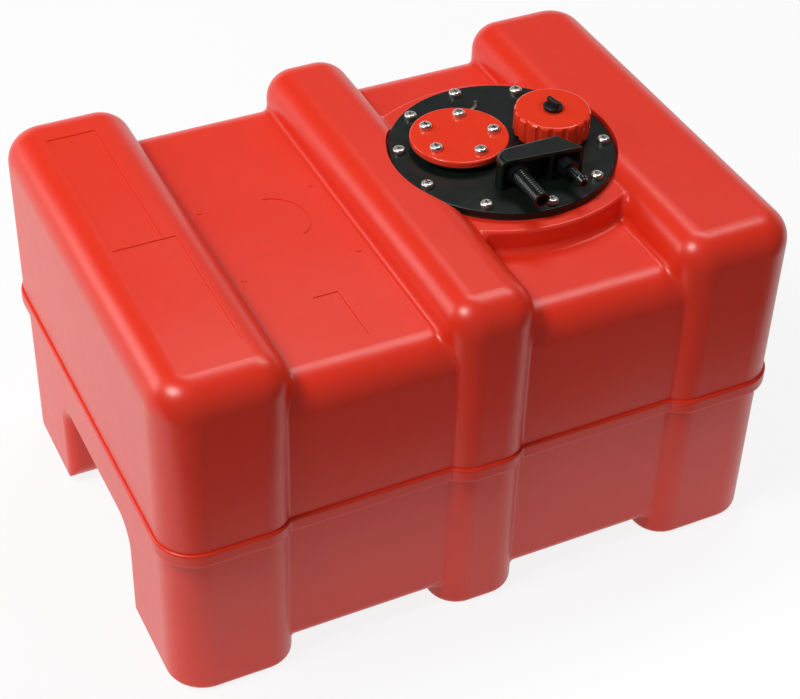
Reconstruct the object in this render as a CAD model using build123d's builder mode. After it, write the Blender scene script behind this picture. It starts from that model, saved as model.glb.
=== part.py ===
"""Portable plastic fuel tank with a bolted flange carrying its cap, cover and hose tails.

Frame: millimetres, +Z up, origin on the floor under the middle of the tank,
+X along the tank's long side, -Y towards the front, where the hose tails point.
"""

import os
from math import cos, radians, sin, sqrt

from build123d import *

os.makedirs("parts", exist_ok=True)

# ---------------------------------------------------------------- driving dimensions
# Moulded tank
tank_length = 500.0
tank_depth = 358.0
tank_height = 291.0
wall = 5.0
rib_flank_x = 151.0  # inner flank of each end rib, from the middle
mid_rib_half = 35.0
end_corner_r = 30.0
flank_corner_r = 25.0
rib_edge_r = 23.0
foot_bottom_r = 6.5
strap_depth_top = 28.4
strap_depth_front = 8.0
strap_depth_bottom = 16.5
strap_top_r = 25.0
strap_bottom_r = 11.0
valley_r = 5.0
parting_z = 141.0
lower_inset = 2.0
bead_height = 12.0
bead_proud = 2.1
bead_edge_r = 1.9

# Tunnel between the front and back feet
tunnel_half = 72.0
tunnel_height = 82.0
tunnel_corner_r = 16.0
tunnel_flare = 10.0
foot_edge_r = 20.0

# Flange plate and its gasket
flange_r = 87.0
plate_thickness = 4.5
plate_edge_r = 0.8
gasket_thickness = 2.0
gasket_inset = 0.4
flange_bolt_inset = 8.0
flange_bolt_count = 10
flange_bolt_start = 90.0

# Seat moulded in the tank for the flange
seat_drop = 9.0
boss_margin = 12.0
boss_side_inset = 11.5
boss_bury = 15.0
boss_edge_r = 2.5
pocket_clearance = 1.6
seat_width = 25.0
collar_floor = 4.0
collar_wall = 5.0

# Pan head screws, brass inserts and their fits
screw_r = 2.4
screw_head_rise = 2.6
screw_head_height = 3.8
screw_head_dome = 2.3
recess_length = 5.2
recess_width = 1.2
recess_depth = 1.9
screw_hole_clearance = 0.35
insert_clearance = 0.1
insert_wall = 1.8
insert_floor = 0.9
screw_tip_gap = 0.6
flange_insert_depth = 12.0

# Sender opening and its blanking cover, placed from the flange centre
cover_dx = -30.0
cover_dy = 13.5
cover_r = 38.0
cover_thickness = 4.5
cover_edge_r = 1.4
cover_gasket_thickness = 1.5
cover_gasket_inset = 0.6
sender_ring_inset = 5.0
sender_ring_width = 12.0
sender_ring_height = 4.5
sender_ring_floor = 2.5
cover_bolt_inset = 6.0
cover_bolt_angles = (64.0, -12.0, -80.0, -157.0, 136.0)

# Filler neck and screw cap, placed from the flange centre
cap_dx = 44.0
cap_dy = 2.5
neck_bore_r = 18.0
neck_wall = 4.0
neck_height = 16.0
neck_lip_r = 0.6
neck_collar_width = 4.5
neck_collar_height = 2.5
cap_wall = 7.1
cap_roof = 3.7
cap_rise = 0.4  # gap between the collar and the closed cap
cap_fit = 0.4
cap_edge_r = 2.6
cap_lobes = 18
cap_flute_r = 3.4
cap_flute_depth = 1.3
cap_recess_r = 11.0
cap_recess_depth = 0.5
cap_seal_thickness = 2.0
cap_seal_fit = 0.2
cap_seal_overlap = 1.0
seal_gap = 0.1

# Vent screw in the cap
vent_stem_r = 3.0
vent_stem_clearance = 0.06
vent_slot_width = 1.2
vent_slot_depth = 0.9
vent_seal_wall = 1.6
vent_seal_thickness = 1.2
vent_knob_r = 7.6
vent_knob_height = 2.4
vent_knob_edge_r = 0.6
vent_knob_notch_r = 1.5
vent_knob_notch_angle = 153.0
vent_grip_inset = 1.1
vent_grip_width = 3.6
vent_grip_height = 4.8
vent_grip_turn = -78.0

# Vent hose tail
vent_dx = -15.0
vent_face_y = -43.0
vent_tail_end_y = -89.5
vent_bore_r = 4.6
vent_tail_wall = 1.8
vent_thread_height = 0.2
vent_nut_rise = 2.6
vent_nut_length = 7.0
vent_collar_rise = 1.3
vent_collar_length = 4.4
vent_passage_width = 8.0

# Fuel hose tail
fuel_dx = 23.5
fuel_face_y = -50.0
fuel_tail_end_y = -83.0
fuel_bore_r = 2.2
fuel_tail_wall = 1.2
fuel_thread_height = 0.6
fuel_collar_rise = 3.4
fuel_collar_length = 3.2
fuel_ring_rise = 2.4
fuel_ring_length = 2.8
fuel_nut_flats = 12.5
fuel_nut_length = 6.4
fuel_barb_rise = 1.9
fuel_barb_length = 4.5

# Details shared by both hose tails
tail_seal_thickness = 1.4
tail_seal_inset = 0.6
tail_fit = 0.05
thread_bite = 5.0
chamber_length = 3.4
groove_depth = 0.5
groove_width = 0.8
tail_edge_r = 0.6

# Housing moulded on the plate round the hose tails
port_front_y = -57.5
port_front_left_y = -51.5
port_back_wall = 1.6
port_wall = 2.3
port_roof = 3.0
port_web = 2.4
port_web_gap = 3.7
port_floor_gap = 3.5
port_roof_gap = 1.0
port_side_gap = 2.2
port_right_gap = 4.8
port_right_step = 13.1
port_corner_r = 13.0
port_shoulder_r = 5.0
port_roof_edge_r = 0.8

# Pick-up pipe, strainer and flame arrester
spigot_r = 4.0
spigot_bore_r = 1.6
spigot_length = 16.0
pickup_wall = 1.45
pickup_fit = 0.05
pickup_forward = 76.0
pickup_bend_r = 40.0
pickup_straight = 83.0
pickup_slant = 60.0
strainer_wall = 2.5
strainer_length = 24.0
strainer_bite = 8.0
strainer_step = 1.0
strainer_cap = 2.0
strainer_slots = 8
strainer_slot_width = 2.4
floor_gap = 6.0
gauze_thickness = 0.6
gauze_setback = 6.0
gauze_pitch = 1.5
gauze_hole = 0.9

# Earth terminal, placed from the flange centre
earth_dx = -3.5
earth_dy = 50.0
earth_screw_r = 1.9
earth_hole_clearance = 0.15
earth_head_rise = 1.3
earth_head_height = 2.2
earth_floor = 1.9
tab_eye_width = 1.55
tab_width = 2.8
tab_reach = 11.5
tab_thickness = 0.8
tab_upstand = 5.6
tab_turn = 32.0
washer_width = 2.35
washer_thickness = 0.7

# Moulded marks on the top
panel_depth = 0.7
mark_height = 0.7
mark_line = 1.5
mark_edge_gap = 28.0
long_panel_width = 38.0
long_panel_length = 148.0
long_panel_y = 66.0
short_panel_width = 47.0
short_panel_length = 126.0
short_panel_y = -73.5
date_panel_width = 19.5
date_panel_length = 53.0
date_panel_x = -90.5
date_panel_y = -108.5
swirl_x = -92.0
swirl_y = 14.0
swirl_r = 29.0
swirl_start = -55.0
swirl_sweep = 135.0
dot_r = 2.1
dot_dx = 45.0
dot_dy = 44.5

# ---------------------------------------------------------------- sizes worked out
strap_floor_z = tank_height - strap_depth_top
seat_z = tank_height - seat_drop
gasket_top = seat_z + gasket_thickness
plate_top = gasket_top + plate_thickness

flange_x = (mid_rib_half + rib_flank_x) / 2
flange_centre = (flange_x, 0)
hand_hole_r = flange_r - seat_width
pocket_r = flange_r + pocket_clearance
collar_r = pocket_r + collar_wall
collar_thickness = flange_insert_depth + collar_floor
flange_bolt_r = flange_r - flange_bolt_inset
boss_front_y = flange_r + boss_margin
boss_side_y = flange_r - boss_side_inset

screw_hole_r = screw_r + screw_hole_clearance
screw_head_r = screw_r + screw_head_rise
insert_bore_r = screw_r + insert_clearance
insert_r = insert_bore_r + insert_wall
blind_end = insert_floor + screw_tip_gap

cover_x = flange_x + cover_dx
sender_ring_r = cover_r - sender_ring_inset
sender_hole_r = sender_ring_r - sender_ring_width
sender_ring_top = plate_top + sender_ring_height
cover_bolt_r = sender_ring_r - cover_bolt_inset
cover_base = sender_ring_top + cover_gasket_thickness
cover_top = cover_base + cover_thickness
cover_insert_depth = sender_ring_height + plate_thickness - sender_ring_floor

cap_x = flange_x + cap_dx
neck_r = neck_bore_r + neck_wall
neck_top = plate_top + neck_height
neck_collar_r = neck_r + neck_collar_width
cap_bore_r = neck_r + cap_fit
cap_r = cap_bore_r + cap_wall
cap_base = plate_top + neck_collar_height + cap_rise
cap_ceiling = neck_top + seal_gap + cap_seal_thickness
cap_top = cap_ceiling + cap_roof
cap_face = cap_top - cap_recess_depth
vent_bore = vent_stem_r + vent_stem_clearance
vent_knob_base = cap_face + vent_seal_thickness

vent_x = flange_x + vent_dx
vent_tail_r = vent_bore_r + vent_tail_wall
vent_shank_r = vent_tail_r + vent_thread_height
vent_nut_r = vent_tail_r + vent_nut_rise
vent_collar_r = vent_tail_r + vent_collar_rise
vent_seal_y = vent_face_y - tail_seal_thickness
vent_barrel_length = vent_seal_y - vent_tail_end_y
vent_passage_y = vent_face_y + thread_bite + chamber_length / 2

fuel_x = flange_x + fuel_dx
fuel_tail_r = fuel_bore_r + fuel_tail_wall
fuel_shank_r = fuel_tail_r + fuel_thread_height
fuel_collar_r = fuel_tail_r + fuel_collar_rise
fuel_ring_r = fuel_tail_r + fuel_ring_rise
fuel_barb_r = fuel_tail_r + fuel_barb_rise
fuel_seal_y = fuel_face_y - tail_seal_thickness
fuel_stem_length = fuel_seal_y - fuel_tail_end_y
fuel_passage_y = fuel_face_y + thread_bite + chamber_length / 2

port_axis_height = vent_nut_r + port_floor_gap
port_axis_z = plate_top + port_axis_height
port_room_height = port_axis_height + vent_nut_r + port_roof_gap
port_back_y = vent_face_y + thread_bite + chamber_length + port_back_wall
port_left_x = vent_x - vent_nut_r - port_side_gap - port_wall
port_web_right = fuel_x - fuel_collar_r - port_web_gap
port_right_x = fuel_x + fuel_nut_flats / 2 + port_right_gap + port_wall
port_right_back_x = port_right_x - port_right_step

pickup_bore_r = spigot_r + pickup_fit
pickup_r = pickup_bore_r + pickup_wall
pickup_sump_y = fuel_passage_y - pickup_forward
pickup_upper_z = gasket_top - pickup_straight
pickup_lower_z = pickup_upper_z - pickup_slant
strainer_r = pickup_r + strainer_wall
strainer_z = strap_depth_bottom + wall + floor_gap
pickup_end_z = strainer_z + strainer_length - strainer_bite

earth_x = flange_x + earth_dx
earth_y = earth_dy
tab_base_z = plate_top + washer_thickness

mark_x = -tank_length / 2 + mark_edge_gap

parting_plane = Plane.XY.offset(parting_z)
vent_plane = Plane((vent_x, vent_seal_y, port_axis_z), x_dir=(1, 0, 0), z_dir=(0, -1, 0))
fuel_plane = Plane((fuel_x, fuel_seal_y, port_axis_z), x_dir=(1, 0, 0), z_dir=(0, -1, 0))
earth_plane = Plane((earth_x, earth_y, tab_base_z)).rotated((0, 0, tab_turn))
upward = (Align.CENTER, Align.CENTER, Align.MIN)
downward = (Align.CENTER, Align.CENTER, Align.MAX)


# ---------------------------------------------------------------- shared shapes
def rib(x0, x1, half_depth, left_r, right_r, skin):
    """One rib from the feet to the top, rounded in plan and then along its top and bottom edges."""
    with BuildPart() as block:
        with BuildSketch(Plane.XY.offset(skin)):
            with BuildLine():
                FilletPolyline(
                    (x0, -half_depth),
                    (x1, -half_depth),
                    (x1, half_depth),
                    (x0, half_depth),
                    close=True,
                    radius=[left_r - skin, right_r - skin, right_r - skin, left_r - skin],
                )
            make_face()
        extrude(amount=tank_height - 2 * skin)
        fillet(block.edges().group_by(Axis.Z)[-1], rib_edge_r - skin)
        fillet(block.edges().group_by(Axis.Z)[0], foot_bottom_r - skin)
    return block.part


def valley_edges(part):
    """The sharp edges where the ribs, the core and the flange seat meet."""
    faces = part.faces()
    valleys = []
    for edge in part.edges():
        near_rib = abs(edge.center().X) < rib_flank_x + flank_corner_r / 2
        on_parting = abs(edge.center().Z - parting_z) < 1
        beside = [face for face in faces if any(edge.is_same(e) for e in face.edges())]
        if near_rib and not on_parting and len(beside) == 2:
            spot = edge.position_at(0.5)
            if beside[0].normal_at(spot).get_angle(beside[1].normal_at(spot)) > 4:
                valleys.append(edge)
    return valleys


def ribbed_body(side_inset, skin):
    """Three ribs joined by a lower core; skin moves every face inwards."""
    half_length = tank_length / 2 - side_inset - skin
    half_depth = tank_depth / 2 - side_inset - skin
    flank_x = rib_flank_x + skin
    mid_x = mid_rib_half - skin
    core_x = (flank_x + half_length) / 2
    core_y = half_depth - strap_depth_front
    core_bottom = strap_depth_bottom + skin
    core_top = strap_floor_z - skin
    bottom_r = strap_bottom_r - skin
    top_r = strap_top_r - skin
    with BuildPart() as body:
        with BuildSketch(Plane.YZ.offset(-core_x)):
            with BuildLine():
                FilletPolyline(
                    (core_y, core_bottom),
                    (core_y, core_top),
                    (-core_y, core_top),
                    (-core_y, core_bottom),
                    close=True,
                    radius=[bottom_r, top_r, top_r, bottom_r],
                )
            make_face()
        extrude(amount=2 * core_x)
        for x0, x1, left_r, right_r in (
            (-half_length, -flank_x, end_corner_r, flank_corner_r),
            (-mid_x, mid_x, flank_corner_r, flank_corner_r),
            (flank_x, half_length, flank_corner_r, end_corner_r),
        ):
            add(rib(x0, x1, half_depth, left_r, right_r, skin))
    return body.part


def tunnel_cutter(skin, flare):
    """The space between the feet; skin makes it larger, flare rounds its mouths."""
    half = tunnel_half + skin
    height = tunnel_height + skin
    corner = tunnel_corner_r + skin
    reach = tank_length / 2 - lower_inset
    with BuildPart() as cutter:
        with BuildSketch(Plane.YZ) as mouth:
            with Locations((0, height / 2 - foot_edge_r)):
                Rectangle(2 * half, height + 2 * foot_edge_r)
            fillet(mouth.vertices().group_by(Axis.Y)[-1], corner)
        extrude(amount=tank_length, both=True)
        if flare:
            for side in (-1, 1):
                with BuildSketch(Plane.YZ.offset(side * reach)) as flared:
                    with Locations((0, height / 2 + flare - foot_edge_r)):
                        Rectangle(2 * half + 4 * flare, height + 2 * flare + 2 * foot_edge_r)
                    fillet(flared.vertices().group_by(Axis.Y)[-1], corner + 2 * flare)
                extrude(amount=side * 2 * flare)
            seams = [
                edge
                for edge in cutter.edges()
                if abs(abs(edge.center().X) - reach) < 0.1
                and abs(edge.center().Y) < half + 0.1
                and 0 < edge.center().Z < height + 0.1
            ]
            fillet(seams, flare)
    return cutter.part


def screw_set(spots, seat, length, head_r, head_height, shank_r):
    """Pan head screws with a cross recess, standing on the seat at each spot."""
    with BuildPart() as screws:
        with Locations(*[(x, y, seat) for x, y in spots]):
            Cylinder(head_r, head_height, align=upward)
        fillet(screws.edges().group_by(Axis.Z)[-1], min(screw_head_dome, head_height * 0.6))
        with Locations(*[(x, y, seat + head_height) for x, y in spots]):
            for turn in (0, 90):
                Box(
                    recess_length * head_r / screw_head_r,
                    recess_width,
                    recess_depth,
                    rotation=(0, 0, turn),
                    align=downward,
                    mode=Mode.SUBTRACT,
                )
        with Locations(*[(x, y, seat) for x, y in spots]):
            Cylinder(shank_r, length, align=downward)
    return screws.part


def insert_set(spots, top, depth):
    """Brass bushes with a blind bore, flush with the given height."""
    with BuildPart() as inserts:
        with Locations(*[(x, y, top) for x, y in spots]):
            Cylinder(insert_r, depth, align=downward)
            Cylinder(insert_bore_r, depth - insert_floor, align=downward, mode=Mode.SUBTRACT)
    return inserts.part


def around(centre, radius, angles):
    """Points on a circle."""
    return [
        (centre[0] + radius * cos(radians(angle)), centre[1] + radius * sin(radians(angle)))
        for angle in angles
    ]


flange_bolt_angles = [flange_bolt_start + 360 / flange_bolt_count * i for i in range(flange_bolt_count)]
flange_bolts = around(flange_centre, flange_bolt_r, flange_bolt_angles)
cover_bolts = around((cover_x, cover_dy), cover_bolt_r, cover_bolt_angles)

# ---------------------------------------------------------------- tank, two halves welded at the bead
boss_x0 = mid_rib_half - boss_bury
boss_x1 = rib_flank_x + boss_bury
with BuildPart() as seat_boss:
    with BuildSketch(Plane.XY.offset(strap_floor_z - wall)):
        with BuildLine():
            ThreePointArc((boss_x0, -boss_side_y), (flange_x, -boss_front_y), (boss_x1, -boss_side_y))
            Line((boss_x1, -boss_side_y), (boss_x1, boss_side_y))
            ThreePointArc((boss_x1, boss_side_y), (flange_x, boss_front_y), (boss_x0, boss_side_y))
            Line((boss_x0, boss_side_y), (boss_x0, -boss_side_y))
        make_face()
    extrude(amount=seat_z - strap_floor_z + wall)
    fillet(seat_boss.edges().filter_by(GeomType.CIRCLE).group_by(Axis.Z)[-1], boss_edge_r)

with BuildPart() as upper_body:
    add(ribbed_body(0, 0))
    split(bisect_by=parting_plane, keep=Keep.TOP)
    add(seat_boss.part)
    fillet(valley_edges(upper_body.part), valley_r)

with BuildPart() as lower_body:
    add(ribbed_body(lower_inset, 0))
    split(bisect_by=parting_plane, keep=Keep.BOTTOM)
    fillet(valley_edges(lower_body.part), valley_r)

with BuildPart() as bead:
    parting_outline = upper_body.faces().sort_by(Axis.Z)[0]
    extrude(offset(parting_outline, amount=bead_proud), amount=bead_height / 2, both=True)
    fillet(bead.faces().filter_by(Axis.Z).edges(), bead_edge_r)

# Hollow inside, with a thick collar left round the hand hole
with BuildPart() as cavity:
    add(ribbed_body(lower_inset / 2, wall))
    add(tunnel_cutter(wall, 0), mode=Mode.SUBTRACT)
    with Locations((flange_x, 0, seat_z - collar_thickness)):
        Cylinder(collar_r, tank_height, align=upward, mode=Mode.SUBTRACT)

with BuildPart() as tank_top_half:
    add(bead.part)
    split(bisect_by=parting_plane, keep=Keep.TOP)
    add(upper_body.part)

    # Round pocket that lets the flange into the two ribs beside it
    with Locations((flange_x, 0, seat_z)):
        Cylinder(pocket_r, tank_height, align=upward, mode=Mode.SUBTRACT)

    # Plain sunk panels on the left rib and in the left strap channel
    for x, y, width, length, level in (
        (mark_x + long_panel_width / 2, long_panel_y, long_panel_width, long_panel_length, tank_height),
        (mark_x + short_panel_width / 2, short_panel_y, short_panel_width, short_panel_length, tank_height),
        (date_panel_x, date_panel_y, date_panel_width, date_panel_length, strap_floor_z),
    ):
        with BuildSketch(Plane.XY.offset(level)):
            with Locations((x, y)):
                Rectangle(width, length)
        extrude(amount=-panel_depth, mode=Mode.SUBTRACT)

    # Raised swirl and locating dots in the left strap channel
    with BuildSketch(Plane.XY.offset(strap_floor_z)):
        with BuildLine():
            CenterArc((swirl_x, swirl_y), swirl_r, swirl_start, swirl_sweep)
        trace(line_width=mark_line)
        with Locations((swirl_x, 0)):
            with GridLocations(2 * dot_dx, 2 * dot_dy, 2, 2):
                Circle(dot_r)
    extrude(amount=mark_height)

    add(cavity.part, mode=Mode.SUBTRACT)
    with Locations((flange_x, 0, seat_z)):
        Cylinder(hand_hole_r, 4 * collar_thickness, mode=Mode.SUBTRACT)
    with Locations(*[(x, y, seat_z) for x, y in flange_bolts]):
        Cylinder(insert_r, flange_insert_depth, align=downward, mode=Mode.SUBTRACT)
tank_top_half.part.label = "tank_top_half"
export_step(tank_top_half.part, "parts/tank_top_half.step")

with BuildPart() as tank_bottom_half:
    add(bead.part)
    split(bisect_by=parting_plane, keep=Keep.BOTTOM)
    add(lower_body.part)

    # Tunnel and the rounded inner edges of the feet
    add(tunnel_cutter(0, tunnel_flare), mode=Mode.SUBTRACT)
    for side in (-1, 1):
        with BuildSketch(Plane.YZ.offset(-tank_length / 2)):
            with Locations((side * (tunnel_half + foot_edge_r / 2), foot_edge_r / 2)):
                Rectangle(foot_edge_r, foot_edge_r)
            with Locations((side * (tunnel_half + foot_edge_r), foot_edge_r)):
                Circle(foot_edge_r, mode=Mode.SUBTRACT)
        extrude(amount=tank_length, mode=Mode.SUBTRACT)
    add(cavity.part, mode=Mode.SUBTRACT)
tank_bottom_half.part.label = "tank_bottom_half"
export_step(tank_bottom_half.part, "parts/tank_bottom_half.step")

# ---------------------------------------------------------------- flange seat pieces
with BuildPart() as flange_inserts:
    add(insert_set(flange_bolts, seat_z, flange_insert_depth))
flange_inserts.part.label = "flange_inserts"
export_step(flange_inserts.part, "parts/flange_inserts.step")

with BuildPart() as flange_gasket:
    with BuildSketch(Plane.XY.offset(seat_z)):
        with Locations(flange_centre):
            Circle(flange_r - gasket_inset)
            Circle(hand_hole_r, mode=Mode.SUBTRACT)
        with Locations(*flange_bolts):
            Circle(screw_hole_r, mode=Mode.SUBTRACT)
    extrude(amount=gasket_thickness)
flange_gasket.part.label = "flange_gasket"
export_step(flange_gasket.part, "parts/flange_gasket.step")

# ---------------------------------------------------------------- flange plate
with BuildPart() as flange_plate:
    with Locations((flange_x, 0, gasket_top)):
        Cylinder(flange_r, plate_thickness, align=upward)
    fillet(flange_plate.edges().group_by(Axis.Z)[-1], plate_edge_r)

    # Housing for the two hose tails, open at the front
    with BuildSketch(Plane.XY.offset(plate_top)):
        with BuildLine():
            FilletPolyline(
                (port_left_x, port_front_left_y),
                (port_left_x, port_back_y),
                (port_right_back_x, port_back_y),
                radius=port_corner_r,
            )
            Polyline(
                (port_right_back_x, port_back_y),
                (port_right_x, port_front_y),
                (port_left_x, port_front_left_y),
            )
        make_face()
    extrude(amount=port_room_height + port_roof)
    roof_edges = flange_plate.edges().group_by(Axis.Z)[-1]
    shoulder = [
        edge
        for edge in roof_edges
        if edge.center().X < port_right_back_x and edge.center().Y > port_front_left_y
    ]
    fillet(shoulder, port_shoulder_r)
    open_rims = [
        edge
        for edge in flange_plate.edges().group_by(Axis.Z)[-1]
        if edge.center().X > port_right_back_x or edge.center().Y < port_front_left_y
    ]
    fillet(open_rims, port_roof_edge_r)
    room_top = plate_top + port_room_height
    room_left = port_left_x + port_wall
    room_right = port_web_right - port_web
    with BuildSketch(Plane.XZ.offset(-vent_face_y)):
        with BuildLine():
            FilletPolyline(
                (room_left, plate_top),
                (room_left, room_top),
                (room_right, room_top),
                radius=port_shoulder_r - port_wall,
            )
            Polyline((room_right, room_top), (room_right, plate_top), (room_left, plate_top))
        make_face()
    extrude(amount=vent_face_y - port_front_y, mode=Mode.SUBTRACT)
    with BuildSketch(Plane.XY.offset(plate_top)):
        slope = port_right_step / (port_back_y - port_front_y)
        side_wall = port_wall * sqrt(1 + slope**2)
        front_right = port_right_x - side_wall
        back_right = front_right - slope * (fuel_face_y - port_front_y)
        with BuildLine():
            Polyline(
                (port_web_right, port_front_y),
                (port_web_right, fuel_face_y),
                (back_right, fuel_face_y),
                (front_right, port_front_y),
                close=True,
            )
        make_face()
    extrude(amount=port_room_height, mode=Mode.SUBTRACT)

    # Neck for the filler cap
    with Locations((cap_x, cap_dy, plate_top)):
        Cylinder(neck_r, neck_height, align=upward)
        Cylinder(neck_collar_r, neck_collar_height, align=upward)
    fillet(
        flange_plate.edges().filter_by(GeomType.CIRCLE).filter_by_position(Axis.Z, neck_top, neck_top),
        neck_lip_r,
    )
    with Locations((cap_x, cap_dy, plate_top)):
        Cylinder(neck_bore_r, 3 * neck_height, mode=Mode.SUBTRACT)

    # Raised ring for the sender cover
    with Locations((cover_x, cover_dy, plate_top)):
        Cylinder(sender_ring_r, sender_ring_height, align=upward)
        Cylinder(sender_hole_r, 3 * neck_height, mode=Mode.SUBTRACT)
    with Locations(*[(x, y, sender_ring_top) for x, y in cover_bolts]):
        Cylinder(insert_r, cover_insert_depth, align=downward, mode=Mode.SUBTRACT)

    # Screw holes
    with Locations(*[(x, y, plate_top) for x, y in flange_bolts]):
        Cylinder(screw_hole_r, 3 * plate_thickness, mode=Mode.SUBTRACT)
    with Locations((earth_x, earth_y, plate_top)):
        Cylinder(earth_screw_r, plate_thickness - earth_floor, align=downward, mode=Mode.SUBTRACT)

    # Vent passage: threaded mouth, chamber, then a slot down through the plate
    with BuildSketch(Plane.XZ.offset(-vent_face_y)):
        with Locations((vent_x, port_axis_z)):
            Circle(vent_shank_r)
    extrude(amount=-thread_bite, mode=Mode.SUBTRACT)
    with BuildSketch(Plane.XZ.offset(-vent_face_y)):
        with Locations((vent_x, port_axis_z)):
            Circle(vent_bore_r)
    extrude(amount=-thread_bite - chamber_length, mode=Mode.SUBTRACT)
    with Locations((vent_x, vent_passage_y, port_axis_z)):
        Box(
            vent_passage_width,
            chamber_length,
            port_axis_height + 2 * plate_thickness,
            align=downward,
            mode=Mode.SUBTRACT,
        )

    # Fuel passage: threaded mouth, then a bore down through the spigot
    with Locations((fuel_x, fuel_passage_y, gasket_top)):
        Cylinder(spigot_r, spigot_length, align=downward)
    with BuildSketch(Plane.XZ.offset(-fuel_face_y)):
        with Locations((fuel_x, port_axis_z)):
            Circle(fuel_shank_r)
    extrude(amount=-thread_bite, mode=Mode.SUBTRACT)
    with BuildSketch(Plane.XZ.offset(-fuel_face_y)):
        with Locations((fuel_x, port_axis_z)):
            Circle(fuel_bore_r)
    extrude(amount=-thread_bite - chamber_length, mode=Mode.SUBTRACT)
    with Locations((fuel_x, fuel_passage_y, port_axis_z)):
        Cylinder(
            spigot_bore_r,
            port_axis_height + plate_thickness + spigot_length,
            align=downward,
            mode=Mode.SUBTRACT,
        )
flange_plate.part.label = "flange_plate"
export_step(flange_plate.part, "parts/flange_plate.step")

with BuildPart() as flange_screws:
    add(
        screw_set(
            flange_bolts,
            plate_top,
            plate_thickness + gasket_thickness + flange_insert_depth - blind_end,
            screw_head_r,
            screw_head_height,
            screw_r,
        )
    )
flange_screws.part.label = "flange_screws"
export_step(flange_screws.part, "parts/flange_screws.step")

# ---------------------------------------------------------------- sender cover
with BuildPart() as sender_inserts:
    add(insert_set(cover_bolts, sender_ring_top, cover_insert_depth))
sender_inserts.part.label = "sender_inserts"
export_step(sender_inserts.part, "parts/sender_inserts.step")

with BuildPart() as sender_gasket:
    with BuildSketch(Plane.XY.offset(sender_ring_top)):
        with Locations((cover_x, cover_dy)):
            Circle(cover_r - cover_gasket_inset)
            Circle(sender_hole_r, mode=Mode.SUBTRACT)
        with Locations(*cover_bolts):
            Circle(screw_hole_r, mode=Mode.SUBTRACT)
    extrude(amount=cover_gasket_thickness)
sender_gasket.part.label = "sender_gasket"
export_step(sender_gasket.part, "parts/sender_gasket.step")

with BuildPart() as sender_cover:
    with Locations((cover_x, cover_dy, cover_base)):
        Cylinder(cover_r, cover_thickness, align=upward)
    fillet(sender_cover.edges().group_by(Axis.Z)[-1], cover_edge_r)
    with Locations(*[(x, y, cover_base) for x, y in cover_bolts]):
        Cylinder(screw_hole_r, 3 * cover_thickness, mode=Mode.SUBTRACT)
sender_cover.part.label = "sender_cover"
export_step(sender_cover.part, "parts/sender_cover.step")

with BuildPart() as sender_cover_screws:
    add(
        screw_set(
            cover_bolts,
            cover_top,
            cover_thickness + cover_gasket_thickness + cover_insert_depth - blind_end,
            screw_head_r,
            screw_head_height,
            screw_r,
        )
    )
sender_cover_screws.part.label = "sender_cover_screws"
export_step(sender_cover_screws.part, "parts/sender_cover_screws.step")

# ---------------------------------------------------------------- filler cap
with BuildPart() as filler_cap:
    with Locations((cap_x, cap_dy, cap_base)):
        Cylinder(cap_r, cap_top - cap_base, align=upward)
    fillet(filler_cap.edges().group_by(Axis.Z)[-1], cap_edge_r)
    with Locations((cap_x, cap_dy, cap_base)):
        with PolarLocations(cap_r + cap_flute_r - cap_flute_depth, cap_lobes):
            Cylinder(cap_flute_r, tank_height, mode=Mode.SUBTRACT)
        Cylinder(cap_bore_r, cap_ceiling - cap_base, align=upward, mode=Mode.SUBTRACT)
        Cylinder(vent_bore, tank_height, mode=Mode.SUBTRACT)
    with Locations((cap_x, cap_dy, cap_top)):
        Cylinder(cap_recess_r, cap_recess_depth, align=downward, mode=Mode.SUBTRACT)
filler_cap.part.label = "filler_cap"
export_step(filler_cap.part, "parts/filler_cap.step")

with BuildPart() as cap_seal:
    with BuildSketch(Plane.XY.offset(cap_ceiling)):
        with Locations((cap_x, cap_dy)):
            Circle(cap_bore_r - cap_seal_fit)
            Circle(neck_bore_r - cap_seal_overlap, mode=Mode.SUBTRACT)
    extrude(amount=-cap_seal_thickness)
cap_seal.part.label = "cap_seal"
export_step(cap_seal.part, "parts/cap_seal.step")

with BuildPart() as vent_screw:
    with Locations((cap_x, cap_dy, vent_knob_base)):
        Cylinder(vent_knob_r, vent_knob_height, align=upward)
    fillet(vent_screw.edges().group_by(Axis.Z)[-1], vent_knob_edge_r)
    notch = around((cap_x, cap_dy), vent_knob_r, [vent_knob_notch_angle])
    with Locations(*[(x, y, vent_knob_base) for x, y in notch]):
        Cylinder(vent_knob_notch_r, 3 * vent_knob_height, mode=Mode.SUBTRACT)
    with BuildSketch(Plane.XY.offset(vent_knob_base)):
        with Locations((cap_x, cap_dy)):
            SlotOverall(
                2 * (vent_knob_r - vent_grip_inset), vent_grip_width, rotation=vent_grip_turn
            )
    extrude(amount=vent_knob_height + vent_grip_height)
    fillet(vent_screw.edges().group_by(Axis.Z)[-1], vent_knob_edge_r)
    with Locations((cap_x, cap_dy, vent_knob_base)):
        Cylinder(vent_stem_r, vent_knob_base - cap_ceiling, align=downward)
    with Locations((cap_x, cap_dy + vent_stem_r - vent_slot_depth / 2, cap_face)):
        Box(vent_slot_width, vent_slot_depth, tank_height, align=downward, mode=Mode.SUBTRACT)
vent_screw.part.label = "vent_screw"
export_step(vent_screw.part, "parts/vent_screw.step")

with BuildPart() as vent_screw_seal:
    with BuildSketch(Plane.XY.offset(cap_face)):
        with Locations((cap_x, cap_dy)):
            Circle(vent_bore + vent_seal_wall)
            Circle(vent_bore, mode=Mode.SUBTRACT)
    extrude(amount=vent_seal_thickness)
vent_screw_seal.part.label = "vent_screw_seal"
export_step(vent_screw_seal.part, "parts/vent_screw_seal.step")

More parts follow.
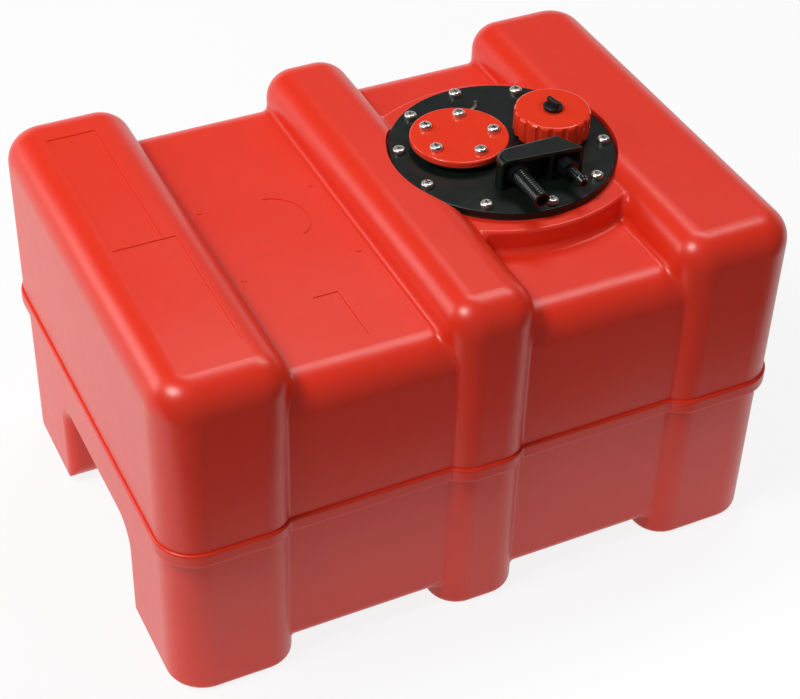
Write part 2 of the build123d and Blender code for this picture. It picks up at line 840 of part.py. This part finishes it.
# ---------------------------------------------------------------- vent hose tail
with BuildPart(vent_plane) as vent_hose_tail:
    Cylinder(vent_tail_r, vent_barrel_length, align=upward)
    fillet(vent_hose_tail.edges().group_by(Axis.Y)[0], tail_edge_r)
    Cylinder(vent_nut_r, vent_nut_length, align=upward)
    Cylinder(vent_collar_r, vent_nut_length + vent_collar_length, align=upward)
    for place, radius in (
        (0.3 * vent_nut_length, vent_nut_r),
        (0.65 * vent_nut_length, vent_nut_r),
        (vent_nut_length + 0.4 * vent_collar_length, vent_collar_r),
    ):
        with Locations((0, 0, place)):
            Cylinder(radius, groove_width, align=upward, mode=Mode.SUBTRACT)
            Cylinder(radius - groove_depth, groove_width, align=upward)
    Cylinder(vent_shank_r - tail_fit, tail_seal_thickness + thread_bite, align=downward)
    Cylinder(vent_bore_r, 3 * vent_barrel_length, mode=Mode.SUBTRACT)
vent_hose_tail.part.label = "vent_hose_tail"
export_step(vent_hose_tail.part, "parts/vent_hose_tail.step")

with BuildPart(vent_plane) as vent_tail_seal:
    Cylinder(vent_nut_r - tail_seal_inset, tail_seal_thickness, align=downward)
    Cylinder(vent_shank_r, 3 * tail_seal_thickness, mode=Mode.SUBTRACT)
vent_tail_seal.part.label = "vent_tail_seal"
export_step(vent_tail_seal.part, "parts/vent_tail_seal.step")

with BuildPart(vent_plane) as vent_gauze:
    with Locations((0, 0, vent_barrel_length - gauze_setback)):
        Cylinder(vent_bore_r, gauze_thickness)
        with GridLocations(gauze_pitch, gauze_pitch, 5, 5):
            Box(gauze_hole, gauze_hole, 3 * gauze_thickness, mode=Mode.SUBTRACT)
vent_gauze.part.label = "vent_gauze"
export_step(vent_gauze.part, "parts/vent_gauze.step")

# ---------------------------------------------------------------- fuel hose tail
with BuildPart(fuel_plane) as fuel_hose_tail:
    Cylinder(fuel_tail_r, fuel_stem_length - fuel_barb_length / 2, align=upward)
    with Locations((0, 0, fuel_stem_length)):
        Cone(fuel_barb_r, fuel_tail_r, fuel_barb_length, align=downward)
    Cylinder(fuel_collar_r, fuel_collar_length, align=upward)
    Cylinder(fuel_ring_r, fuel_collar_length + fuel_ring_length, align=upward)
    for place, radius in (
        (0.5 * fuel_collar_length, fuel_collar_r),
        (fuel_collar_length + 0.4 * fuel_ring_length, fuel_ring_r),
    ):
        with Locations((0, 0, place)):
            Cylinder(radius, groove_width, align=upward, mode=Mode.SUBTRACT)
            Cylinder(radius - groove_depth, groove_width, align=upward)
    with BuildSketch(fuel_plane):
        RegularPolygon(fuel_nut_flats / 2, 6, major_radius=False, rotation=30)
    extrude(amount=fuel_collar_length + fuel_ring_length + fuel_nut_length)
    Cylinder(fuel_shank_r - tail_fit, tail_seal_thickness + thread_bite, align=downward)
    Cylinder(fuel_bore_r, 3 * fuel_stem_length, mode=Mode.SUBTRACT)
fuel_hose_tail.part.label = "fuel_hose_tail"
export_step(fuel_hose_tail.part, "parts/fuel_hose_tail.step")

with BuildPart(fuel_plane) as fuel_tail_seal:
    Cylinder(fuel_collar_r - tail_seal_inset, tail_seal_thickness, align=downward)
    Cylinder(fuel_shank_r, 3 * tail_seal_thickness, mode=Mode.SUBTRACT)
fuel_tail_seal.part.label = "fuel_tail_seal"
export_step(fuel_tail_seal.part, "parts/fuel_tail_seal.step")

# ---------------------------------------------------------------- pick-up
with BuildPart() as pickup_tube:
    with BuildLine(Plane.YZ.offset(fuel_x)) as pickup_path:
        FilletPolyline(
            (fuel_passage_y, gasket_top),
            (fuel_passage_y, pickup_upper_z),
            (pickup_sump_y, pickup_lower_z),
            (pickup_sump_y, pickup_end_z),
            radius=pickup_bend_r,
        )
    with BuildSketch(Plane(pickup_path.line @ 0, z_dir=pickup_path.line % 0)):
        Circle(pickup_r)
        Circle(pickup_bore_r, mode=Mode.SUBTRACT)
    sweep(path=pickup_path.line)
pickup_tube.part.label = "pickup_tube"
export_step(pickup_tube.part, "parts/pickup_tube.step")

with BuildPart() as pickup_strainer:
    with Locations((fuel_x, pickup_sump_y, strainer_z)):
        Cylinder(strainer_r, strainer_length, align=upward)
    fillet(pickup_strainer.edges().group_by(Axis.Z)[0], strainer_cap / 2)
    with Locations((fuel_x, pickup_sump_y, pickup_end_z)):
        Cylinder(
            pickup_r,
            2 * strainer_bite,
            align=upward,
            mode=Mode.SUBTRACT,
        )
    with Locations((fuel_x, pickup_sump_y, strainer_z + strainer_cap)):
        Cylinder(
            pickup_r - strainer_step,
            strainer_length,
            align=upward,
            mode=Mode.SUBTRACT,
        )
        with PolarLocations(strainer_r, strainer_slots):
            Box(
                strainer_r,
                strainer_slot_width,
                pickup_end_z - strainer_z - 2 * strainer_cap,
                align=upward,
                mode=Mode.SUBTRACT,
            )
pickup_strainer.part.label = "pickup_strainer"
export_step(pickup_strainer.part, "parts/pickup_strainer.step")

# ---------------------------------------------------------------- earth terminal
with BuildPart() as earth_washer:
    with BuildSketch(Plane.XY.offset(plate_top)):
        with Locations((earth_x, earth_y)):
            Circle(earth_screw_r + washer_width)
            Circle(earth_screw_r + earth_hole_clearance, mode=Mode.SUBTRACT)
    extrude(amount=washer_thickness)
earth_washer.part.label = "earth_washer"
export_step(earth_washer.part, "parts/earth_washer.step")

with BuildPart(earth_plane) as earth_terminal:
    with BuildSketch(earth_plane):
        Circle(earth_screw_r + tab_eye_width)
        with Locations((tab_reach / 2, 0)):
            Rectangle(tab_reach, tab_width)
        Circle(earth_screw_r + earth_hole_clearance, mode=Mode.SUBTRACT)
    extrude(amount=tab_thickness)
    with Locations((tab_reach, 0, 0)):
        Box(tab_thickness, tab_width, tab_upstand, align=(Align.MAX, Align.CENTER, Align.MIN))
earth_terminal.part.label = "earth_terminal"
export_step(earth_terminal.part, "parts/earth_terminal.step")

with BuildPart() as earth_screw:
    add(
        screw_set(
            [(earth_x, earth_y)],
            tab_base_z + tab_thickness,
            tab_thickness + washer_thickness + plate_thickness - earth_floor,
            earth_screw_r + earth_head_rise,
            earth_head_height,
            earth_screw_r,
        )
    )
earth_screw.part.label = "earth_screw"
export_step(earth_screw.part, "parts/earth_screw.step")
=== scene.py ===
"""Finishes, studio table, lights and camera of the outboard fuel tank."""
import math

import bpy
from mathutils import Matrix, Vector


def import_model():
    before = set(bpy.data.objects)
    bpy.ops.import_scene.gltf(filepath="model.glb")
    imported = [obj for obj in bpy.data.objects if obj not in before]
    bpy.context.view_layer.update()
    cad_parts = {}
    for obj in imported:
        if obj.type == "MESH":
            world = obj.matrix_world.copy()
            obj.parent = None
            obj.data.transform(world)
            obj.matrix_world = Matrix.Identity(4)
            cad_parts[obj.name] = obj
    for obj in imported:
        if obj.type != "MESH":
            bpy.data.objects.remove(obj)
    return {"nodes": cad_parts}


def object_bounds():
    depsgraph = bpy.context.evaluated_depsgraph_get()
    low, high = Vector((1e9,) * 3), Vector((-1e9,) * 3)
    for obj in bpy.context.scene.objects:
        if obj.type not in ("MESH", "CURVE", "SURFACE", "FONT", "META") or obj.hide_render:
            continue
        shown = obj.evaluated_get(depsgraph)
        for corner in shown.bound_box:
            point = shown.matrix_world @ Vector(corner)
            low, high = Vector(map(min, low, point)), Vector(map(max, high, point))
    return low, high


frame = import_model()
cad_low, cad_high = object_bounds()
nodes = frame["nodes"]

MM = 0.001
UP = Vector((0, 0, 1))

# A wave texture multiplies its place by this before it takes the sine
WAVE_FACTOR = 20

# Input and output numbers of a Mix node: the shared factor, its plain numbers and its colours
FACTOR = 0
NUMBER_A, NUMBER_B = 2, 3
COLOUR_A, COLOUR_B, COLOUR_OUT = 6, 7, 2

# Typical refractive indices
POLYETHYLENE_IOR = 1.53
ABS_IOR = 1.53
NYLON_IOR = 1.53
ACETAL_IOR = 1.48
RUBBER_IOR = 1.52


# Small tools

def linear(hex_colour):
    """Linear RGBA of an sRGB hex colour."""
    channels = [int(hex_colour[i:i + 2], 16) / 255 for i in (0, 2, 4)]
    return (*[c / 12.92 if c <= 0.04045 else ((c + 0.055) / 1.055) ** 2.4 for c in channels], 1.0)


def pattern(size):
    """Scale of a texture whose cells are that many millimetres wide."""
    return 1 / (size * MM)


def wave_pattern(pitch):
    """Scale of a wave texture whose crests are that many millimetres apart."""
    return pattern(pitch) * math.tau / WAVE_FACTOR


def add(tree, kind, values=(), links=(), **settings):
    """A new node: settings are its own, values and links go to its inputs by name or number."""
    node = tree.nodes.new("ShaderNode" + kind)
    for name, value in settings.items():
        setattr(node, name, value)
    for socket, value in dict(values).items():
        node.inputs[socket].default_value = value
    for socket, source in dict(links).items():
        tree.links.new(source, node.inputs[socket])
    return node


def blank(name):
    """A material with an empty node tree, that tree, and the place of each point in it."""
    material = bpy.data.materials.new(name)
    material.use_nodes = True
    tree = material.node_tree
    tree.nodes.clear()
    return material, tree, add(tree, "TexCoord").outputs["Object"]


def skin(tree, shade, colours, gloss, constants, normal=None):
    """The outside of a finish. Its colour and roughness both run from the first to the second
    of their pair with the shade, and the constants are the same all over."""
    colour = add(tree, "Mix", {COLOUR_A: linear(colours[0]), COLOUR_B: linear(colours[1])},
                 {FACTOR: shade}, data_type="RGBA")
    roughness = add(tree, "MapRange", {"To Min": gloss[0], "To Max": gloss[1]}, {"Value": shade})
    links = {"Base Color": colour.outputs[COLOUR_OUT], "Roughness": roughness.outputs["Result"]}
    if normal is not None:
        links["Normal"] = normal
    shader = add(tree, "BsdfPrincipled", constants, links)
    add(tree, "OutputMaterial", {}, {"Surface": shader.outputs["BSDF"]})


def coat_nodes(material, *names):
    """Gives these CAD nodes that finish."""
    for name in names:
        for slot in nodes[name].material_slots:
            slot.material = material


# Finishes

def rotomoulded_polyethylene():
    """Satin red skin: powder that melted against a blasted mould, so it is slightly mottled,
    with fine grain, faint orange peel and slow shrinkage waves that bend the highlights."""
    material, tree, place = blank("rotomoulded polyethylene")
    mottle = add(tree, "TexNoise", {"Scale": pattern(14), "Detail": 3, "Roughness": 0.6},
                 {"Vector": place}).outputs["Fac"]
    # the real grain is about 0.3 mm, too fine to show, so it is drawn at 1.4 mm
    grain = add(tree, "TexNoise", {"Scale": pattern(1.4), "Detail": 1}, {"Vector": place})
    peel = add(tree, "TexNoise", {"Scale": pattern(7), "Detail": 1}, {"Vector": place})
    wave = add(tree, "TexNoise", {"Scale": pattern(70), "Detail": 0}, {"Vector": place})
    grained = add(tree, "Bump", {"Strength": 1, "Distance": 0.012 * MM},
                  {"Height": grain.outputs["Fac"]})
    peeled = add(tree, "Bump", {"Strength": 1, "Distance": 0.05 * MM},
                 {"Height": peel.outputs["Fac"], "Normal": grained.outputs["Normal"]})
    waved = add(tree, "Bump", {"Strength": 1, "Distance": 0.9 * MM},
                {"Height": wave.outputs["Fac"], "Normal": peeled.outputs["Normal"]})
    skin(tree, mottle, ("E8341A", "E32C16"), (0.3, 0.36), {"IOR": POLYETHYLENE_IOR},
         waved.outputs["Normal"])
    return material


def polished_red_abs():
    """Glossier red of injection moulded ABS: a polished tool leaves sharp reflections, broken
    only by faint flow lines."""
    material, tree, place = blank("polished red ABS")
    flow = add(tree, "TexNoise", {"Scale": pattern(9), "Detail": 2, "Distortion": 1.5},
               {"Vector": place}).outputs["Fac"]
    ripple = add(tree, "Bump", {"Strength": 1, "Distance": 0.03 * MM}, {"Height": flow})
    skin(tree, flow, ("EE4026", "E8361E"), (0.12, 0.18), {"IOR": ABS_IOR},
         ripple.outputs["Normal"])
    return material


def spark_eroded_black_nylon():
    """Near black with a fine matt grain off a spark eroded tool, and a soft satin sheen on edges."""
    material, tree, place = blank("spark eroded black nylon")
    # the real spark grain is about 0.2 mm, too fine to show, so it is drawn at 0.9 mm
    grain = add(tree, "TexNoise", {"Scale": pattern(0.9), "Detail": 1}, {"Vector": place})
    cloud = add(tree, "TexNoise", {"Scale": pattern(11), "Detail": 3}, {"Vector": place}).outputs["Fac"]
    pits = add(tree, "Bump", {"Strength": 1, "Distance": 0.02 * MM}, {"Height": grain.outputs["Fac"]})
    skin(tree, cloud, ("0D1410", "141B17"), (0.26, 0.36),
         {"IOR": NYLON_IOR, "Specular IOR Level": 0.3}, pits.outputs["Normal"])
    return material


def turned_black_acetal():
    """Deeper, glossier black than the plate: machined bar with turned ridges across its length,
    which break its highlights into rows of glints."""
    material, tree, place = blank("turned black acetal")
    # the real turning marks are about 0.1 mm apart, too fine to show, so they are drawn at 2.4 mm
    marks = add(tree, "TexWave", {"Scale": wave_pattern(2.4), "Distortion": 0.4}, {"Vector": place},
                bands_direction="Y")
    cloud = add(tree, "TexNoise", {"Scale": pattern(6), "Detail": 2}, {"Vector": place}).outputs["Fac"]
    cut = add(tree, "Bump", {"Strength": 1, "Distance": 0.09 * MM}, {"Height": marks.outputs["Fac"]})
    skin(tree, cloud, ("101213", "1A1D1E"), (0.16, 0.28), {"IOR": ACETAL_IOR},
         cut.outputs["Normal"])
    return material


def nitrile_rubber():
    """Matt black rubber sheet and rings, with a faint grey bloom."""
    material, tree, place = blank("nitrile rubber")
    bloom = add(tree, "TexNoise", {"Scale": pattern(5), "Detail": 4}, {"Vector": place}).outputs["Fac"]
    dusted = add(tree, "Bump", {"Strength": 1, "Distance": 0.02 * MM}, {"Height": bloom})
    skin(tree, bloom, ("161618", "2A2A2C"), (0.6, 0.8), {"IOR": RUBBER_IOR},
         dusted.outputs["Normal"])
    return material


def tumbled_stainless():
    """Bright cold headed screws, tumbled after heading: small soft dents that break the reflections."""
    material, tree, place = blank("tumbled stainless steel")
    dents = add(tree, "TexNoise", {"Scale": pattern(1.2), "Detail": 2}, {"Vector": place}).outputs["Fac"]
    dented = add(tree, "Bump", {"Strength": 1, "Distance": 0.03 * MM}, {"Height": dents})
    skin(tree, dents, ("E2E0DA", "CFCEC9"), (0.26, 0.4), {"Metallic": 1}, dented.outputs["Normal"])
    return material


def turned_brass():
    """Warm yellow brass with fine rings from the lathe and a little dulling."""
    material, tree, place = blank("turned brass")
    # the real tool marks are about 0.1 mm apart, too fine to show, so they are drawn at 0.8 mm
    rings = add(tree, "TexWave", {"Scale": wave_pattern(0.8), "Distortion": 0.5}, {"Vector": place},
                bands_direction="Z")
    tarnish = add(tree, "TexNoise", {"Scale": pattern(4), "Detail": 3}, {"Vector": place}).outputs["Fac"]
    cut = add(tree, "Bump", {"Strength": 1, "Distance": 0.01 * MM}, {"Height": rings.outputs["Fac"]})
    skin(tree, tarnish, ("D9B36A", "B48A45"), (0.22, 0.4), {"Metallic": 1}, cut.outputs["Normal"])
    return material


def tinned_brass():
    """Dull silver grey tin over stamped brass, with soft stains that take the shine off."""
    material, tree, place = blank("tinned brass")
    stain = add(tree, "TexNoise", {"Scale": pattern(2), "Detail": 4}, {"Vector": place}).outputs["Fac"]
    dulled = add(tree, "Bump", {"Strength": 1, "Distance": 0.02 * MM}, {"Height": stain})
    skin(tree, stain, ("A8A59C", "7F7C72"), (0.3, 0.5), {"Metallic": 1}, dulled.outputs["Normal"])
    return material


def shade_darkened_bronze():
    """Dark brown bronze wire of the flame arrester. Its colour is darkened well below bare bronze as
    painted shade for the shadowed bore it sits in.
    """
    material, tree, place = blank("bronze darkened as painted shade")
    bronze_tone = add(tree, "TexNoise", {"Scale": pattern(3), "Detail": 3}, {"Vector": place}).outputs["Fac"]
    # both colours are darker than bare bronze: painted shade for the bore of the vent tail
    skin(tree, bronze_tone, ("5A4328", "3A2C1C"), (0.4, 0.6), {"Metallic": 1})
    return material


coat_nodes(rotomoulded_polyethylene(), "tank_top_half", "tank_bottom_half")
coat_nodes(polished_red_abs(), "sender_cover", "filler_cap")
coat_nodes(spark_eroded_black_nylon(), "flange_plate", "pickup_tube", "pickup_strainer")
coat_nodes(turned_black_acetal(), "vent_hose_tail", "fuel_hose_tail", "vent_screw")
coat_nodes(nitrile_rubber(), "flange_gasket", "sender_gasket", "cap_seal", "vent_screw_seal",
           "vent_tail_seal", "fuel_tail_seal")
coat_nodes(tumbled_stainless(), "flange_screws", "sender_cover_screws", "earth_screw")
coat_nodes(turned_brass(), "flange_inserts", "sender_inserts")
coat_nodes(tinned_brass(), "earth_terminal", "earth_washer")
coat_nodes(shade_darkened_bronze(), "vent_gauze")


# Floor, lights and camera

# The white table ends a little way in front of the tank, and beyond it the room is dark
TABLE_WIDTH = 5.0
TABLE_FRONT = -0.31
TABLE_BACK = 3.0
TABLE_GLOW = 0.86
EDGE_FADE = 0.09

# Strength of the world's light from behind, from the front, and as reflections see it
AMBIENT = 0.08
FRONT_FILL = 0.42
DARK_ROOM = 0.02

# The white sheet behind the table is full from this heading on, and fades out between two heights
SHEET_FULL = 0.4
SHEET_TOP = 0.45
SHEET_LOW = 0.15

# Place, aim, width, height and radiance of each lamp
LAMPS = {
    "left_key": ((-1.89, -0.26, 3.0), (0, 0, 0.2), 0.98, 0.98, 22.5),
    "overhead_softbox": ((0.9, 0.85, 2.3), (0.1, 0, 0.2), 1.8, 0.6, 6),
    "table_lamp": ((-1.1, 0.75, 0.8), (-0.6, 0.35, 0), 0.6, 0.6, 4),
}

CAMERA_PLACE = Vector((-0.53105, -1.06848, 1.11720))
CAMERA_AIM = Vector((0.34754, 0.68355, -0.64185)).normalized()
CAMERA_ROLL = math.radians(2.03)
SENSOR_WIDTH = 36
FOCAL_LENGTH = 87.31


def table_finish():
    """Pale matt table. It stays a plain white to the camera and in reflections, and still takes
    the shadow of the tank. Towards its front edge it pales into the white behind it."""
    material, tree, place = blank("matt white table")
    path = add(tree, "LightPath")
    matt = add(tree, "BsdfDiffuse", {"Color": linear("F2F2F2")})
    glow = add(tree, "Emission", {"Color": linear("FFFFFF"), "Strength": 1})
    seen = add(tree, "Math", {}, {0: path.outputs["Is Camera Ray"], 1: path.outputs["Is Glossy Ray"]},
               operation="MAXIMUM")
    spot = add(tree, "SeparateXYZ", {}, {"Vector": place})
    pale = add(tree, "MapRange", {"From Min": TABLE_FRONT, "From Max": TABLE_FRONT + EDGE_FADE,
                                  "To Min": 1, "To Max": TABLE_GLOW}, {"Value": spot.outputs["Y"]})
    share = add(tree, "Math", {}, {0: seen.outputs[0], 1: pale.outputs[0]}, operation="MULTIPLY")
    mix = add(tree, "MixShader", {}, {0: share.outputs[0], 1: matt.outputs[0], 2: glow.outputs[0]})
    add(tree, "OutputMaterial", {}, {"Surface": mix.outputs[0]})
    return material


def table():
    """The table top under the feet of the tank."""
    corners = [(side * TABLE_WIDTH / 2, y, cad_low.z)
               for side, y in ((-1, TABLE_FRONT), (1, TABLE_FRONT), (1, TABLE_BACK), (-1, TABLE_BACK))]
    mesh = bpy.data.meshes.new("table")
    mesh.from_pydata(corners, [], [(0, 1, 2, 3)])
    mesh.materials.append(table_finish())
    top = bpy.data.objects.new("table", mesh)
    bpy.context.scene.collection.objects.link(top)


def world():
    """White to the camera. Reflections find a white sheet low behind the table and a dark room
    elsewhere. The light it gives the tank is low, and stronger from the front."""
    sky = bpy.data.worlds.new("studio")
    sky.use_nodes = True
    tree = sky.node_tree
    tree.nodes.clear()
    path = add(tree, "LightPath")
    heading = add(tree, "SeparateXYZ", {}, {"Vector": add(tree, "TexCoord").outputs["Generated"]})
    behind = add(tree, "MapRange", {"From Min": 0, "From Max": SHEET_FULL},
                 {"Value": heading.outputs["Y"]})
    low = add(tree, "MapRange", {"From Min": SHEET_TOP, "From Max": SHEET_LOW},
              {"Value": heading.outputs["Z"]})
    sheet = add(tree, "Math", {}, {0: behind.outputs[0], 1: low.outputs[0]}, operation="MULTIPLY")
    mirrored = add(tree, "Math", {}, {0: sheet.outputs[0], 1: path.outputs["Is Glossy Ray"]},
                   operation="MULTIPLY")
    direct = add(tree, "Math", {}, {0: path.outputs["Is Camera Ray"],
                                    1: path.outputs["Is Transmission Ray"]}, operation="MAXIMUM")
    share = add(tree, "Math", {}, {0: direct.outputs[0], 1: mirrored.outputs[0]}, operation="MAXIMUM")
    fill = add(tree, "MapRange", {"From Min": 0, "From Max": -1, "To Min": AMBIENT, "To Max": FRONT_FILL},
               {"Value": heading.outputs["Y"]})
    level = add(tree, "Mix", {NUMBER_B: DARK_ROOM},
                {FACTOR: path.outputs["Is Glossy Ray"], NUMBER_A: fill.outputs[0]})
    room = add(tree, "Background", {"Color": linear("FFFFFF")}, {"Strength": level.outputs[0]})
    white = add(tree, "Background", {"Color": linear("FFFFFF"), "Strength": 1})
    mix = add(tree, "MixShader", {}, {0: share.outputs[0], 1: room.outputs[0], 2: white.outputs[0]})
    add(tree, "OutputWorld", {}, {"Surface": mix.outputs[0]})
    bpy.context.scene.world = sky


def softbox(name, place, aim, width, height, radiance):
    """A rectangular soft lamp that looks at its aim."""
    lamp = bpy.data.lights.new(name, "AREA")
    lamp.shape = "RECTANGLE"
    lamp.size, lamp.size_y = width, height
    lamp.energy = radiance * math.pi * width * height
    holder = bpy.data.objects.new(name, lamp)
    bpy.context.scene.collection.objects.link(holder)
    holder.location = place
    holder.rotation_euler = (Vector(aim) - Vector(place)).to_track_quat("-Z", "Y").to_euler()


def camera():
    """Long lens from the front left, well above, turned a little about its own axis."""
    right = CAMERA_AIM.cross(UP).normalized()
    above = right.cross(CAMERA_AIM)
    turned_right = right * math.cos(CAMERA_ROLL) + above * math.sin(CAMERA_ROLL)
    turned_up = above * math.cos(CAMERA_ROLL) - right * math.sin(CAMERA_ROLL)
    lens = bpy.data.cameras.new("camera")
    lens.sensor_fit = "HORIZONTAL"
    lens.sensor_width = SENSOR_WIDTH
    lens.lens = FOCAL_LENGTH
    holder = bpy.data.objects.new("camera", lens)
    bpy.context.scene.collection.objects.link(holder)
    holder.matrix_world = (Matrix.Translation(CAMERA_PLACE)
                           @ Matrix((turned_right, turned_up, -CAMERA_AIM)).transposed().to_4x4())
    bpy.context.scene.camera = holder


bpy.context.scene.view_settings.view_transform = "Standard"
table()
world()
for lamp_name, lamp_setup in LAMPS.items():
    softbox(lamp_name, *lamp_setup)
camera()
